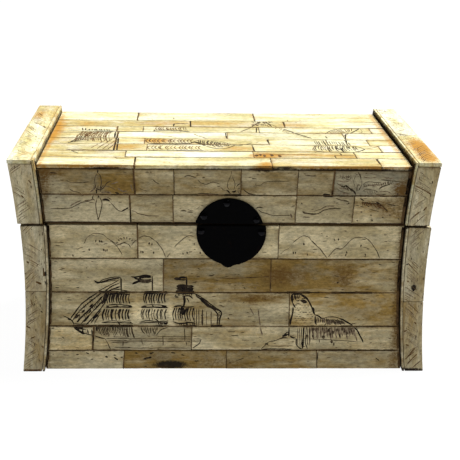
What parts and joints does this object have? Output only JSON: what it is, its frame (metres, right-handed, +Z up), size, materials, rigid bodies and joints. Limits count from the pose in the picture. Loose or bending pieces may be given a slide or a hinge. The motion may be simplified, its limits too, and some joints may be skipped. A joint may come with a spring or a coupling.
{
  "type": "scrimshaw box",
  "caption": "Small wooden chest clad with flat bone tiles in rows, with waisted end boards that stand proud, a flat lift-off lid and a round black lock plate in two halves.",
  "frame": {"origin": "under the middle of the lid, on the surface that the box stands on", "axes": "+X along the box, the front with the lock plate faces -Y, +Z up"},
  "size_m": [0.25, 0.146, 0.133],
  "materials": {
    "front_bone": "satin",
    "top_bone": "satin",
    "edge_bone": "satin",
    "wood": "matte",
    "iron": "satin",
    "nail_iron": "satin"
  },
  "bodies": {
    "root": {"body_back_board": "wood", "body_back_row_1": "front_bone", "body_back_row_2": "front_bone", "body_back_row_3": "front_bone", "body_back_row_4": "front_bone", "body_back_row_5": "front_bone", "body_bottom_board": "wood", "body_end_board_left": "wood", "body_end_board_right": "wood", "body_end_tiles_left": "edge_bone", "body_end_tiles_right": "edge_bone", "body_facing_back_left": "edge_bone", "body_facing_back_right": "edge_bone", "body_facing_front_left": "edge_bone", "body_facing_front_right": "edge_bone", "body_front_board": "wood", "body_front_row_1": "front_bone", "body_front_row_2": "front_bone", "body_front_row_3": "front_bone", "body_front_row_4": "front_bone", "body_front_row_5": "front_bone", "body_strip_back_left": "edge_bone", "body_strip_back_right": "edge_bone", "body_strip_front_left": "edge_bone", "body_strip_front_right": "edge_bone", "lid_back_board": "wood", "lid_back_row_1": "front_bone", "lid_back_row_2": "front_bone", "lid_band_left": "edge_bone", "lid_band_right": "edge_bone", "lid_end_board_left": "wood", "lid_end_board_right": "wood", "lid_end_tiles_left": "edge_bone", "lid_end_tiles_right": "edge_bone", "lid_facing_back_left": "edge_bone", "lid_facing_back_right": "edge_bone", "lid_facing_front_left": "edge_bone", "lid_facing_front_right": "edge_bone", "lid_front_board": "wood", "lid_front_row_1": "front_bone", "lid_front_row_2": "front_bone", "lid_strip_left": "edge_bone", "lid_strip_right": "edge_bone", "lid_top_board": "wood", "lid_top_row_1": "top_bone", "lid_top_row_2": "top_bone", "lid_top_row_3": "top_bone", "lid_top_row_4": "top_bone", "lid_top_row_5": "top_bone", "lid_top_row_6": "top_bone", "lid_top_row_7": "top_bone", "lid_top_row_8": "top_bone", "lock_nail_left": "nail_iron", "lock_nail_lower_left": "nail_iron", "lock_nail_lower_right": "nail_iron", "lock_nail_right": "nail_iron", "lock_nail_top": "nail_iron", "lock_plate_lower": "iron", "lock_plate_upper": "iron"}
  },
  "joints": []
}
